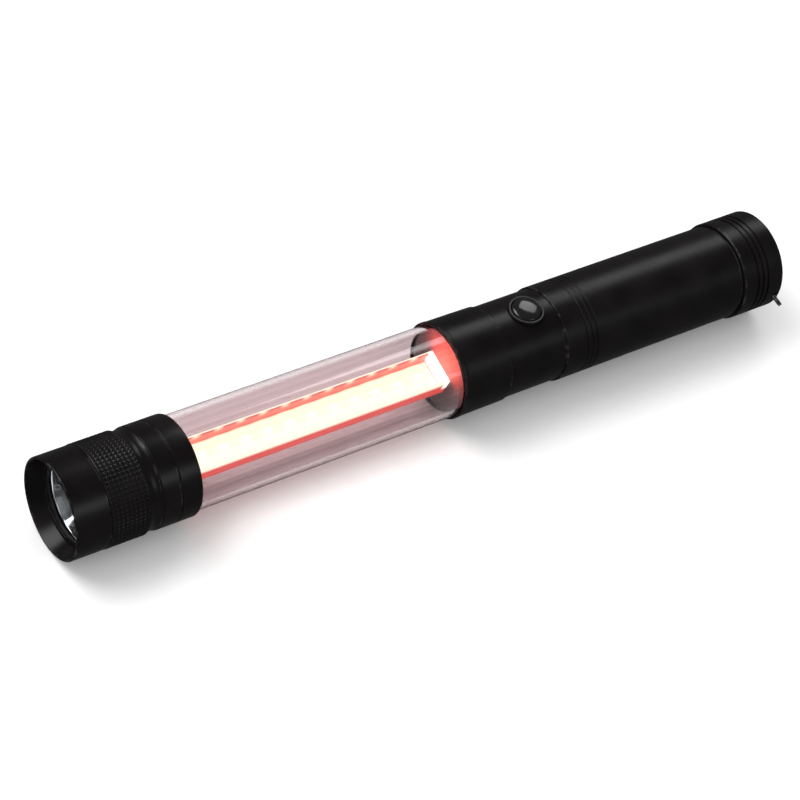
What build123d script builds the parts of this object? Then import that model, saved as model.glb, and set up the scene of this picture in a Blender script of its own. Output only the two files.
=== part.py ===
from build123d import *
import math
import os

# Traffic baton light. Millimetres. X runs from the front rim (X = 0) to the tail along the torch's
# axis, and +Z points straight out of the push button. The torch lies with its button up.

# ---- lengths along the axis, front to tail ---------------------------------------------------
bezel_length = 11.0
knurl_length = 12.5
waist_length = 4.0
ring_land_length = 6.0
head_rim_length = 7.0
tube_visible_length = 90.1
sleeve_length = 17.6
housing_length = 20.6
tail_gap = 0.8
tail_cap_length = 15.7

# ---- cells and cartridge: they set the handle's bore and length --------------------------------
cell_radius = 5.25
cell_length = 43.7
cell_nub_radius = 1.9
cell_nub_height = 0.8
cell_gap = 0.1
cell_spring_length = 1.9
cell_spring_wire = 0.25
cell_spring_radius = 2.6
cell_spring_turns = 2
cell_edge_break = 0.3
disc_edge_break = 0.3
disc_thickness = 2.6
cartridge_skin = 0.325
cartridge_gap = 0.4
post_radius = 1.3
spine_radius = 1.9

# ---- walls, steps between neighbouring pieces, and clearances -----------------------------------
handle_wall = 1.5
housing_step = 0.5
housing_wall = 3.0
tail_step = 0.7
tube_step = 0.1
tube_wall = 1.5
head_step = 1.07
knurl_rise = 0.15
waist_dip = 0.47
bezel_drop = 0.02
sleeve_lip_rise = 0.85
sleeve_tail_rise = 0.45
housing_neck_drop = 0.6
fixed_gap = 0.05
running_gap = 0.10
loose_gap = 0.3
edge_break = 0.4
seal_round_share = 0.3
cutter_spare = 1.0

# ---- front light -------------------------------------------------------------------------------
bezel_mouth_wall = 0.7
cone_depth = 4.5
cone_drop = 0.2
lip_width = 1.0
lip_thickness = 1.0
window_inset = 2.47
window_thickness = 1.5
window_edge_break = 0.2
lens_seal_thickness = 1.0
lens_seal_width = 0.9
bezel_spigot_wall = 1.2
bezel_spigot_length = 4.0
bezel_spigot_end_gap = 0.2
reflector_flange = 1.0
reflector_depth = 14.5
reflector_throat_radius = 3.2
reflector_wall = 0.8
reflector_side_offset = 0.48
collar_thickness = 0.8
collar_radius = 5.5
collar_bore_gap = 0.2
star_board_radius = 8.0
star_board_thickness = 1.2
star_notch_radius = 1.2
led_base_side = 3.5
led_base_height = 0.7
led_dome_radius = 1.3
sink_thickness = 5.5
sink_groove_places = (1.6, 3.4)
sink_groove_width = 0.7
sink_groove_depth = 0.8
sink_web_thickness = 1.5
sink_web_width = 2.5

# ---- head shell --------------------------------------------------------------------------------
knurl_rows = 8
knurl_columns = 48
knurl_depth = 0.35
knurl_slot_width = 0.55
waist_steps = 8
ring_line_depth = 0.3
ring_line_width = 0.5
ring_line_slope = 0.1
head_rear_round = 1.0
head_rear_steps = 6

# ---- light tube and strip ----------------------------------------------------------------------
gasket_thickness = 1.0
gasket_inset = 0.1
tray_clock = 13.0
tray_floor = 1.8
tray_side_width = 0.7
tray_side_gap = 0.1
tray_wall_thickness = 1.6
tray_wall_rise = 4.1
keel_width = 1.6
keel_height = 5.0
boss_width = 5.0
boss_length = 7.0
board_width = 9.4
board_thickness = 1.0
board_top = -1.2
board_end_gap = 0.3
led_count = 12
led_front_margin = 4.45
led_rear_margin = 7.1
led_length = 3.5
led_width = 2.8
led_height = 1.4
led_edge_break = 0.25
resistor_count = 4
resistor_length = 1.6
resistor_width = 0.8
resistor_height = 0.5
resistor_offset = 3.6
bulkhead_thickness = 2.5
front_bulkhead_inset = 1.5
screw_radius = 1.0
screw_head_radius = 1.9
screw_head_height = 1.2
screw_length = 8.0
screw_slot = 0.5
wire_radius = 0.6
wire_from_boss = 0.5
wire_bend = 3.0

# ---- switch housing and button -----------------------------------------------------------------
sleeve_step_length = 1.9
sleeve_lip_length = 1.2
sleeve_lip_slope = 0.4
button_from_sleeve = 11.8
button_radius = 4.55
button_flange_radius = 5.0
button_flange_thickness = 0.7
button_shoulder_drop = 0.15
button_dome_rise = 1.1
button_travel = 0.8
ring_radius = 5.65
ring_press_gap = 0.03
ring_proud = 0.6
ring_round = 0.3
ring_seat_depth = 1.6
stem_radius = 1.75
stem_show = 0.9
stem_in_guide = 0.3
guide_spare = 0.6
switch_side = 6.2
switch_height = 3.3
driver_thickness = 1.0
driver_end_gap = 1.0
driver_side_gap = 0.2
driver_parts_inset = 5.0
driver_coil_radius = 2.6
driver_coil_height = 2.4
driver_chip_side = 4.0
driver_chip_height = 1.2
capacitor_length = 2.0
capacitor_width = 1.4
capacitor_height = 0.9
capacitor_offset = 4.6
carrier_wall = 1.5
carrier_gap = 0.1
housing_spigot_length = 8.2
contact_holder_thickness = 2.5
contact_radius = 5.0
contact_plate_thickness = 0.5
contact_spring_inset = 1.2
spring_wire = 0.45
front_spring_turns = 1.5
front_spring_room = 3.6
handle_seal_section = 1.2
handle_seal_inset = 3.0
handle_seal_gap = 0.1

# ---- handle and tail -----------------------------------------------------------------------------
groove_count = 3
groove_first = 7.9
groove_pitch = 1.9
groove_width = 0.8
groove_depth = 0.35
spigot_length = 5.0
spigot_pitch = 1.0
spigot_ridge_height = 0.4
spigot_rise_share = 0.25
spigot_crest_share = 0.60
spigot_fall_share = 0.85
spigot_wall = 2.0
tail_rim_wall = 2.5
tail_recess_depth = 5.0
tail_web = 3.9
tail_groove_first = 5.4
tail_groove_pitch = 2.0
tail_plate_gap = 0.5
tail_plate_thickness = 1.0
tail_seal_width = 1.4
tail_spring_turns = 5
retainer_thickness = 1.4
retainer_width = 1.4
ring_clock = 4.0
ring_hole_radius = 1.25
ring_hole_inset = 2.0
split_ring_radius = 3.5
split_ring_wire = 0.8
split_ring_leaf = 0.5
split_ring_slit = 0.12
split_ring_bridge = 1.4
split_ring_twist = 55.0
split_ring_sink = 0.9

# ---- radii worked out from the cells outwards ----------------------------------------------------
cell_pitch_radius = cell_radius * math.sqrt(2) + cell_gap
cartridge_radius = cell_pitch_radius + cell_radius + cartridge_skin
post_pitch_radius = cartridge_radius - post_radius - fixed_gap
handle_bore = cartridge_radius + cartridge_gap
handle_radius = handle_bore + handle_wall
housing_radius = handle_radius - housing_step
housing_bore = housing_radius - housing_wall
housing_neck_radius = housing_radius - housing_neck_drop
carrier_radius = housing_bore - carrier_gap
tube_radius = housing_radius - tube_step
tube_bore = tube_radius - tube_wall
bulkhead_radius = tube_bore - running_gap
sleeve_lip_radius = tube_radius + sleeve_lip_rise
sleeve_tail_radius = housing_radius + sleeve_tail_rise
head_radius = tube_radius + head_step
knurl_radius = head_radius + knurl_rise
bezel_radius = head_radius - bezel_drop
window_radius = head_radius - window_inset
cone_end_radius = window_radius - cone_drop
lip_radius = window_radius - lip_width
bezel_spigot_radius = window_radius + bezel_spigot_wall
sink_web_bore = window_radius - sink_web_width
tail_radius = handle_radius + tail_step
tail_recess_radius = tail_radius - tail_rim_wall
spigot_crest_radius = handle_bore - running_gap
spigot_root_radius = spigot_crest_radius - spigot_ridge_height
tail_bore = spigot_root_radius - spigot_wall
tail_plate_radius = tail_bore - tail_plate_gap

# ---- stations along X worked out from the lengths ------------------------------------------------
cartridge_length = cell_length + cell_nub_height + cell_spring_length + 2 * disc_thickness
x_knurl = bezel_length
x_waist = x_knurl + knurl_length
x_land = x_waist + waist_length
x_rim = x_land + ring_land_length
x_head_rear = x_rim + head_rim_length
x_sleeve = x_head_rear + tube_visible_length
x_housing = x_sleeve + sleeve_length
x_handle = x_housing + housing_length
x_housing_rear = x_handle + housing_spigot_length
x_cartridge = x_housing_rear + front_spring_room
x_cartridge_rear = x_cartridge + cartridge_length
x_cap_spigot = x_cartridge_rear + 2 * loose_gap
x_handle_rear = x_cap_spigot + spigot_length
x_tail = x_handle_rear + tail_gap
x_end = x_tail + tail_cap_length

x_lip = cone_depth + lip_thickness
x_window = x_lip + lens_seal_thickness
x_reflector = x_window + window_thickness
x_throat = x_reflector + reflector_depth
x_star = x_throat + collar_thickness
x_sink = x_star + star_board_thickness
x_sink_web = x_sink + sink_thickness
x_front_gasket = x_sink_web + sink_web_thickness
x_tube = x_front_gasket + gasket_thickness
x_bulkhead = x_tube + front_bulkhead_inset
x_tray = x_bulkhead + bulkhead_thickness
x_tray_rear = x_sleeve + edge_break
x_spigot = x_tray_rear + bulkhead_thickness
x_step = x_housing - sleeve_step_length
x_tube_rear = x_step - gasket_thickness
x_button = x_housing + button_from_sleeve
x_carrier = x_spigot + bulkhead_thickness
x_holder = x_housing_rear - contact_holder_thickness
x_plate = x_end - tail_recess_depth - tail_web - tail_plate_thickness
x_retainer = x_plate - retainer_thickness

# ---- levels and offsets of the inner pieces --------------------------------------------------------
tray_width = board_width + 2 * (tray_side_width + tray_side_gap)
tray_under = board_top - board_thickness - tray_floor
screw_level = tray_under - keel_height / 2
wire_level = tray_under - wire_radius - fixed_gap
wire_spread = boss_width / 2 + wire_radius + wire_from_boss
led_pitch = (x_tray_rear - led_rear_margin - x_tray - led_front_margin) / (led_count - 1)
x_first_led = x_tray + led_front_margin
ring_top = housing_radius + ring_proud
ring_seat = housing_radius - ring_seat_depth
flange_top = ring_seat - fixed_gap
flange_under = flange_top - button_flange_thickness
switch_top = flange_under - stem_show
driver_top = switch_top - switch_height
driver_under = driver_top - driver_thickness
board_half_width = math.sqrt(carrier_radius**2 - driver_top**2) - driver_side_gap


# ---- shared shapes -------------------------------------------------------------------------------
def turned(*points):
    """Solid of revolution about X from (x, radius) corners."""
    return revolve(make_face(Polyline(*points, close=True)), Axis.X)


def tube(x0, x1, outer, inner):
    """Plain tube along X."""
    return turned((x0, inner), (x1, inner), (x1, outer), (x0, outer))


def rod(x0, x1, radius, y=0.0, z=0.0):
    """Plain round bar along X at (y, z)."""
    base = Plane(origin=(x0, y, z), z_dir=(1, 0, 0))
    return extrude(base * Circle(radius), x1 - x0)


def block(x0, x1, y0, y1, z0, z1):
    """Rectangular block between two corners."""
    centre = Location(((x0 + x1) / 2, (y0 + y1) / 2, (z0 + z1) / 2))
    return centre * Box(x1 - x0, y1 - y0, z1 - z0)


def upright(radius, z0, z1, x=0.0, y=0.0):
    """Round bar along Z at (x, y)."""
    return Location((x, y, (z0 + z1) / 2)) * Cylinder(radius, z1 - z0)


def seal(x0, x1, outer, inner):
    """Rubber ring with rounded long edges."""
    ring = tube(x0, x1, outer, inner)
    soft = min(x1 - x0, outer - inner) * seal_round_share
    return fillet(ring.edges(), soft)


def coil(x0, x1, radius, turns, wire, y=0.0, z=0.0):
    """Coil spring along X whose wire stays between x0 and x1."""
    height = x1 - x0 - 2 * wire
    path = Helix(height / turns, height, radius)
    section = Plane(origin=path @ 0, z_dir=path % 0) * Circle(wire)
    spring = sweep(section, path=path, is_frenet=True)
    return Location((x0 + wire, y, z)) * Rot(0, 90, 0) * spring


def clocked(shape, angle):
    """Shape turned about the torch's axis."""
    return Rot(angle, 0, 0) * shape


# ---- front light ---------------------------------------------------------------------------------
def front_bezel():
    """Screwed ring with a wide anti-glare cone and a lip that traps the window."""
    mouth = bezel_radius - bezel_mouth_wall
    pocket = window_radius + fixed_gap
    x_back = bezel_length + bezel_spigot_length
    return turned(
        (0, mouth), (cone_depth, cone_end_radius), (cone_depth, lip_radius), (x_lip, lip_radius),
        (x_lip, pocket), (x_back, pocket), (x_back, bezel_spigot_radius),
        (bezel_length, bezel_spigot_radius), (bezel_length, bezel_radius),
        (edge_break, bezel_radius), (0, bezel_radius - edge_break))


def lens_seal():
    """O-ring between the lip and the window."""
    return seal(x_lip, x_window, window_radius, window_radius - lens_seal_width)


def lens_window():
    """Flat clear disc."""
    disc = rod(x_window, x_reflector, window_radius)
    return chamfer(disc.edges(), window_edge_break)


def reflector():
    """Thin parabolic bowl with a flange behind the window and a short neck round the emitter."""
    rim = window_radius - reflector_wall
    focus_run = x_throat - x_reflector

    def bowl(radius):
        """Distance from the throat at which the bowl reaches this radius."""
        share = (radius**2 - reflector_throat_radius**2) / (rim**2 - reflector_throat_radius**2)
        return x_throat - focus_run * share

    middle = (rim + reflector_throat_radius) / 2
    inner = Spline((x_reflector, rim), (bowl(middle), middle), (x_throat, reflector_throat_radius))
    wall = reflector_wall
    outer = Spline(
        (x_throat, reflector_throat_radius + wall),
        (bowl(middle) + wall, middle + reflector_side_offset),
        (x_reflector + reflector_flange, rim))
    throat = Line((x_throat, reflector_throat_radius), (x_throat, reflector_throat_radius + wall))
    flange = Polyline(
        (x_reflector + reflector_flange, rim), (x_reflector + reflector_flange, window_radius),
        (x_reflector, window_radius), (x_reflector, rim))
    return revolve(make_face([inner, throat, outer, flange]), Axis.X)


def reflector_collar():
    """Insulating washer between the reflector and the LED board."""
    return tube(x_throat, x_star, collar_radius, reflector_throat_radius + collar_bore_gap)


def front_led():
    """White emitter: square base and silicone dome."""
    half = led_base_side / 2
    x_dome = x_star - led_base_height - led_dome_radius
    base = block(x_star - led_base_height, x_star, -half, half, -half, half)
    dome = Location((x_star - led_base_height, 0, 0)) * Sphere(led_dome_radius)
    return base + (dome & block(x_dome, x_star - led_base_height, -half, half, -half, half))


def front_led_board():
    """Round metal-cored board with two solder notches."""
    board = rod(x_star, x_sink, star_board_radius)
    for side in (-1, 1):
        board -= rod(x_star, x_sink, star_notch_radius, 0, side * star_board_radius)
    return board


def heat_sink():
    """Turned puck that carries the front board and seats on the head's inner web."""
    puck = rod(x_sink, x_sink_web, window_radius)
    for side in (-1, 1):
        puck -= rod(x_sink, x_sink_web, wire_radius + running_gap, side * wire_spread, wire_level)
    for place in sink_groove_places:
        x0 = x_sink + place
        puck -= tube(x0, x0 + sink_groove_width, window_radius, window_radius - sink_groove_depth)
    return puck


# ---- head shell ----------------------------------------------------------------------------------
def head_shell():
    """Turned head: knurled grip, waist, two ring lines and a rounded rear rim."""
    front_bore = bezel_spigot_radius + fixed_gap
    x_spigot_end = bezel_length + bezel_spigot_length + bezel_spigot_end_gap
    sink_bore = window_radius + fixed_gap
    rear_bore = tube_radius + fixed_gap
    core = bezel_radius
    outside = [
        (x_knurl, core), (x_knurl + edge_break, knurl_radius), (x_waist - edge_break, knurl_radius),
        (x_waist, core)]
    for step in range(1, waist_steps):
        share = step / waist_steps
        dip = waist_dip * math.sin(math.pi * share)
        outside.append((x_waist + waist_length * share, core - dip))
    for line in (x_land, x_rim):
        outside += [
            (line, head_radius), (line + ring_line_slope, head_radius - ring_line_depth),
            (line + ring_line_width - ring_line_slope, head_radius - ring_line_depth),
            (line + ring_line_width, head_radius)]
    for step in range(head_rear_steps + 1):
        turn = math.pi / 2 * step / head_rear_steps
        outside.append((
            x_head_rear - head_rear_round * (1 - math.sin(turn)),
            head_radius - head_rear_round * (1 - math.cos(turn))))
    inside = [
        (x_head_rear, rear_bore), (x_front_gasket, rear_bore), (x_front_gasket, sink_web_bore),
        (x_sink_web, sink_web_bore), (x_sink_web, sink_bore), (x_spigot_end, sink_bore),
        (x_spigot_end, front_bore), (x_knurl, front_bore)]
    return turned(*outside, *inside) - knurl_cutters()


def knurl_cutters():
    """Square-grid knurl: lengthwise slots and round grooves cut into the grip band."""
    floor = knurl_radius - knurl_depth
    row_pitch = (knurl_length - 2 * edge_break) / knurl_rows
    slot = block(
        x_knurl + edge_break, x_waist - edge_break, -knurl_slot_width / 2, knurl_slot_width / 2,
        floor, knurl_radius + cutter_spare)
    cutters = [clocked(slot, 360 * column / knurl_columns) for column in range(knurl_columns)]
    for row in range(1, knurl_rows):
        centre = x_knurl + edge_break + row * row_pitch
        half = knurl_slot_width / 2
        cutters.append(tube(centre - half, centre + half, knurl_radius + cutter_spare, floor))
    return cutters


# ---- light tube and strip ------------------------------------------------------------------------
def tube_gasket(x0):
    """Flat soft ring at an end of the light tube."""
    return tube(x0, x0 + gasket_thickness, tube_radius - gasket_inset, tube_bore + gasket_inset)


def clear_tube():
    """Clear plastic light tube."""
    return tube(x_tube, x_tube_rear, tube_radius, tube_bore)


def bulkhead(x0):
    """Disc inside the tube that a tray end is screwed to, with holes for the leads."""
    disc = rod(x0, x0 + bulkhead_thickness, bulkhead_radius)
    disc -= rod(x0, x0 + bulkhead_thickness, screw_radius + fixed_gap, 0, screw_level)
    for side in (-1, 1):
        hole = wire_radius + running_gap
        disc -= rod(x0, x0 + bulkhead_thickness, hole, side * wire_spread, wire_level)
    return clocked(disc, tray_clock)


def strip_tray():
    """Moulded trough round the board, with a keel and a screw boss at each end below it."""
    half = tray_width / 2
    floor_top = board_top - board_thickness
    wall_top = board_top + tray_wall_rise
    tray = block(x_tray, x_tray_rear, -half, half, tray_under, floor_top)
    for side in (-1, 1):
        low, high = sorted((side * (half - tray_side_width), side * half))
        tray += block(x_tray, x_tray_rear, low, high, floor_top, wall_top)
    tray += block(
        x_tray, x_tray_rear, -keel_width / 2, keel_width / 2, tray_under - keel_height, tray_under)
    for x0 in (x_tray, x_tray_rear - tray_wall_thickness):
        tray += block(x0, x0 + tray_wall_thickness, -half, half, tray_under, wall_top)
    for x0 in (x_tray, x_tray_rear - boss_length):
        tray += block(
            x0, x0 + boss_length, -boss_width / 2, boss_width / 2, tray_under - keel_height,
            tray_under)
    for x0, x1 in ((x_tray, x_tray + boss_length), (x_tray_rear - boss_length, x_tray_rear)):
        tray -= rod(x0, x1, screw_radius + fixed_gap, 0, screw_level)
    return clocked(tray, tray_clock)


def strip_board():
    """Long narrow circuit board inside the tray's walls."""
    start = x_tray + tray_wall_thickness + board_end_gap
    stop = x_tray_rear - tray_wall_thickness - board_end_gap
    half = board_width / 2
    board = block(start, stop, -half, half, board_top - board_thickness, board_top)
    return clocked(board, tray_clock)


def strip_leds():
    """Row of surface-mount red LEDs, each a separate solid."""
    row = []
    for index in range(led_count):
        x = x_first_led + index * led_pitch
        led = block(
            x - led_width / 2, x + led_width / 2, -led_length / 2, led_length / 2,
            board_top, board_top + led_height)
        led = chamfer(led.faces().sort_by(Axis.Z)[-1].edges(), led_edge_break)
        row.append(clocked(led, tray_clock))
    return Compound(children=row)


def strip_resistors():
    """Chip resistors beside the LEDs, one for each group of three."""
    group = led_count / resistor_count
    chips = []
    for index in range(resistor_count):
        x = x_first_led + group * (index + 0.5) * led_pitch
        chip = block(
            x - resistor_length / 2, x + resistor_length / 2,
            resistor_offset - resistor_width / 2, resistor_offset + resistor_width / 2,
            board_top, board_top + resistor_height)
        chips.append(clocked(chip, tray_clock))
    return Compound(children=chips)


def tray_screw(x_seat, inward):
    """Slotted pan-head screw whose head seats at x_seat and whose shank runs inward."""
    x_top = x_seat - inward * screw_head_height
    x_tip = x_seat + inward * screw_length
    head = rod(min(x_seat, x_top), max(x_seat, x_top), screw_head_radius, 0, screw_level)
    shank = rod(min(x_seat, x_tip), max(x_seat, x_tip), screw_radius, 0, screw_level)
    x_slot = x_top + inward * screw_slot
    slot = block(
        min(x_top, x_slot), max(x_top, x_slot), -screw_slot / 2, screw_slot / 2,
        screw_level - screw_head_radius, screw_level + screw_head_radius)
    return clocked(head + shank - slot, tray_clock)


def tray_screws():
    """One screw through each bulkhead into the tray."""
    return Compound(children=[tray_screw(x_bulkhead, 1), tray_screw(x_spigot, -1)])


def lead_wire(side):
    """Insulated lead from the heat sink along the tray's underside to the driver board."""
    x_turn = x_carrier + 2 * wire_bend
    turn = math.radians(tray_clock)
    y = side * wire_spread * math.cos(turn) - wire_level * math.sin(turn)
    z = side * wire_spread * math.sin(turn) + wire_level * math.cos(turn)
    path = FilletPolyline(
        (x_sink_web, y, z), (x_turn, y, z), (x_turn, y, driver_under), radius=wire_bend)
    section = Plane(origin=path @ 0, z_dir=path % 0) * Circle(wire_radius)
    return sweep(section, path=path)


def tube_sleeve():
    """Turned ring over the tube's rear end: rolled front lip, slight taper, inner step."""
    over_tube = tube_radius + fixed_gap
    over_neck = housing_neck_radius + fixed_gap
    return turned(
        (x_sleeve + loose_gap, over_tube), (x_step, over_tube), (x_step, over_neck),
        (x_housing, over_neck), (x_housing, sleeve_tail_radius - edge_break / 2),
        (x_housing - edge_break / 2, sleeve_tail_radius),
        (x_sleeve + sleeve_lip_length + sleeve_lip_slope, sleeve_lip_radius - running_gap),
        (x_sleeve + sleeve_lip_length, sleeve_lip_radius),
        (x_sleeve + edge_break, sleeve_lip_radius), (x_sleeve, sleeve_lip_radius - edge_break),
        (x_sleeve, over_tube + loose_gap))


# ---- switch housing and button -------------------------------------------------------------------
def switch_housing():
    """Turned barrel with a front spigot in the tube, a rear spigot in the handle and a button hole."""
    front = bulkhead_radius
    rear = handle_bore - fixed_gap
    groove_floor = rear - handle_seal_section
    x_groove = x_handle + handle_seal_inset
    x_groove_end = x_groove + handle_seal_section + 2 * handle_seal_gap
    barrel = turned(
        (x_spigot, housing_bore), (x_spigot, front), (x_tube_rear, front),
        (x_tube_rear, tube_bore - fixed_gap), (x_step, tube_bore - fixed_gap),
        (x_step, housing_neck_radius), (x_housing, housing_neck_radius),
        (x_housing, housing_radius), (x_handle, housing_radius), (x_handle, rear),
        (x_groove, rear), (x_groove, groove_floor), (x_groove_end, groove_floor),
        (x_groove_end, rear), (x_housing_rear, rear),
        (x_housing_rear, housing_bore))
    seat = upright(ring_radius + ring_press_gap, ring_seat, 2 * housing_radius, x_button)
    passage = upright(button_flange_radius + running_gap, 0, housing_radius, x_button)
    return barrel - seat - passage


def handle_seal():
    """O-ring in the rear spigot's groove."""
    x0 = x_handle + handle_seal_inset + handle_seal_gap
    outer = handle_bore - fixed_gap
    return seal(x0, x0 + handle_seal_section, outer, outer - handle_seal_section)


def button_ring():
    """Proud ring round the button, seated in the housing."""
    inner = button_radius + running_gap
    ring = upright(ring_radius, ring_seat, ring_top, x_button)
    ring -= upright(inner, ring_seat, ring_top, x_button)
    top_edges = ring.edges().filter_by(GeomType.CIRCLE).group_by(Axis.Z)[-1]
    return fillet(top_edges, ring_round)


def button_cap():
    """Domed push button with a flange that the ring holds in."""
    crown = ring_top - button_shoulder_drop + button_dome_rise
    crown_radius = (button_radius**2 + button_dome_rise**2) / (2 * button_dome_rise)
    dome = Location((x_button, 0, crown - crown_radius)) * Sphere(crown_radius)
    body = upright(button_radius, flange_under, crown, x_button) & dome
    return body + upright(button_flange_radius, flange_under, flange_top, x_button)


def switch_stem():
    """Plunger of the push switch, under the cap."""
    return upright(stem_radius, switch_top - button_travel - stem_in_guide, flange_under, x_button)


def switch_body():
    """Push switch on the driver board, with the plunger's guide hole."""
    half = switch_side / 2
    body = block(x_button - half, x_button + half, -half, half, driver_top, switch_top)
    guide = upright(
        stem_radius + running_gap, switch_top - 2 * button_travel - guide_spare, switch_top, x_button)
    return body - guide


def driver_board():
    """Circuit board across the housing, on the carrier's edges."""
    x0 = x_carrier + driver_end_gap
    return block(x0, x_holder, -board_half_width, board_half_width, driver_under, driver_top)


def driver_parts():
    """Coil, driver chip and two capacitors on top of the driver board."""
    x_can = x_carrier + driver_parts_inset
    x0 = x_can + driver_chip_side
    half = driver_chip_side / 2
    can = upright(driver_coil_radius, driver_top, driver_top + driver_coil_height, x_can)
    chips = [can, block(x0, x0 + 2 * half, -half, half, driver_top, driver_top + driver_chip_height)]
    for side in (-1, 1):
        y = side * capacitor_offset
        chips.append(block(
            x0, x0 + capacitor_length, y - capacitor_width / 2, y + capacitor_width / 2,
            driver_top, driver_top + capacitor_height))
    return Compound(children=chips)


def board_carrier():
    """Trough that carries the driver board inside the housing."""
    trough = tube(x_carrier, x_holder, carrier_radius, carrier_radius - carrier_wall)
    above = block(
        x_carrier, x_holder, -housing_radius, housing_radius, driver_under, housing_radius)
    return trough - above


def contact_holder():
    """Insulating disc that closes the housing's rear end."""
    return rod(x_holder, x_housing_rear, carrier_radius)


def front_contact():
    """Brass contact disc that faces the cartridge."""
    return rod(x_housing_rear, x_housing_rear + contact_plate_thickness, contact_radius)


def front_contact_spring():
    """Coil spring between the front contact and the cartridge."""
    x0 = x_housing_rear + contact_plate_thickness
    x1 = x_cartridge - contact_plate_thickness - loose_gap
    return coil(x0, x1, contact_radius - contact_spring_inset, front_spring_turns, spring_wire)


# ---- handle and cartridge ------------------------------------------------------------------------
def handle_tube():
    """Plain battery tube with three turned grooves near its front end."""
    body = turned(
        (x_handle, handle_bore), (x_handle, handle_radius - edge_break),
        (x_handle + edge_break, handle_radius), (x_handle_rear - edge_break, handle_radius),
        (x_handle_rear, handle_radius - edge_break), (x_handle_rear, handle_bore))
    for index in range(groove_count):
        centre = x_handle + groove_first + index * groove_pitch
        floor = handle_radius - groove_depth
        half = groove_width / 2
        body -= tube(centre - half, centre + half, handle_radius + cutter_spare, floor)
    return body


def cell_places():
    """(y, z, pointing) of each cell's axis; neighbours point opposite ways."""
    places = []
    for index in range(4):
        turn = math.radians(45 + 90 * index)
        pointing = 1 if index % 2 else -1
        places.append((cell_pitch_radius * math.cos(turn), cell_pitch_radius * math.sin(turn), pointing))
    return places


def battery_cells():
    """Four AAA cells, each with its contact nub."""
    cells = []
    x0 = x_cartridge + disc_thickness
    x1 = x_cartridge_rear - disc_thickness
    for y, z, pointing in cell_places():
        if pointing > 0:
            start = x1 - cell_nub_height - cell_length
            nub = rod(start + cell_length, x1, cell_nub_radius, y, z)
        else:
            start = x0 + cell_nub_height
            nub = rod(x0, start, cell_nub_radius, y, z)
        can = rod(start, start + cell_length, cell_radius, y, z)
        cells.append(chamfer(can.edges(), cell_edge_break) + nub)
    return Compound(children=cells)


def cell_springs():
    """Small coil behind each cell's flat end."""
    springs = []
    for y, z, pointing in cell_places():
        x0 = x_cartridge + disc_thickness
        if pointing < 0:
            x0 = x_cartridge_rear - disc_thickness - cell_spring_length
        springs.append(coil(
            x0, x0 + cell_spring_length, cell_spring_radius, cell_spring_turns, cell_spring_wire, y, z))
    return Compound(children=springs)


def cartridge_disc(x0):
    """Moulded end disc of the cartridge."""
    disc = rod(x0, x0 + disc_thickness, cartridge_radius)
    return chamfer(disc.edges(), disc_edge_break)


def cartridge_posts():
    """Spine and four posts that join the end discs."""
    x0 = x_cartridge + disc_thickness
    x1 = x_cartridge_rear - disc_thickness
    posts = [rod(x0, x1, spine_radius)]
    for index in range(4):
        turn = math.radians(90 * index)
        y = post_pitch_radius * math.cos(turn)
        z = post_pitch_radius * math.sin(turn)
        posts.append(rod(x0, x1, post_radius, y, z))
    return Compound(children=posts)


def cartridge_contact(x0):
    """Round contact plate on an end disc."""
    return rod(x0, x0 + contact_plate_thickness, contact_radius)


# ---- tail ----------------------------------------------------------------------------------------
def tail_cap():
    """Screw-on cap: grooved knob, ridged spigot, end recess and the hole for the ring."""
    x_floor = x_end - tail_recess_depth
    outside = [(x_cap_spigot, tail_bore), (x_cap_spigot, spigot_root_radius)]
    ridges = int((x_handle_rear - x_cap_spigot) / spigot_pitch)
    for index in range(ridges):
        x0 = x_cap_spigot + index * spigot_pitch
        outside += [
            (x0 + spigot_rise_share * spigot_pitch, spigot_crest_radius),
            (x0 + spigot_crest_share * spigot_pitch, spigot_crest_radius),
            (x0 + spigot_fall_share * spigot_pitch, spigot_root_radius)]
    outside += [
        (x_tail, spigot_root_radius), (x_tail, tail_radius - edge_break),
        (x_tail + edge_break, tail_radius), (x_end - edge_break, tail_radius),
        (x_end, tail_radius - edge_break)]
    inside = [
        (x_end, tail_recess_radius), (x_floor, tail_recess_radius), (x_floor, 0),
        (x_floor - tail_web, 0), (x_floor - tail_web, tail_bore)]
    cap = turned(*outside, *inside)
    for index in range(groove_count):
        centre = x_tail + tail_groove_first + index * tail_groove_pitch
        half = groove_width / 2
        cap -= tube(
            centre - half, centre + half, tail_radius + cutter_spare, tail_radius - groove_depth)
    hole = Plane(origin=(x_end - ring_hole_inset, 0, 0), z_dir=(0, -1, 0))
    hole = extrude(hole * Circle(ring_hole_radius), tail_radius + cutter_spare)
    hole -= rod(x_floor - cutter_spare, x_end + cutter_spare, tail_recess_radius - cutter_spare)
    return cap - clocked(hole, ring_clock)


def tail_seal():
    """Rubber ring in the gap between the handle and the cap."""
    inner = spigot_root_radius + fixed_gap
    return seal(x_handle_rear + fixed_gap, x_tail, inner + tail_seal_width, inner)


def tail_retainer():
    """Ring that holds the contact plate in the cap."""
    outer = tail_bore - fixed_gap
    return tube(x_retainer, x_plate - fixed_gap, outer, outer - retainer_width)


def tail_contact_plate():
    """Round contact plate against the cap's web."""
    return rod(x_plate, x_plate + tail_plate_thickness - fixed_gap, tail_plate_radius)


def tail_spring():
    """Coil spring between the contact plate and the cartridge."""
    x0 = x_cartridge_rear + contact_plate_thickness + loose_gap
    return coil(
        x0, x_plate - fixed_gap, contact_radius - contact_spring_inset, tail_spring_turns, spring_wire)


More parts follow.
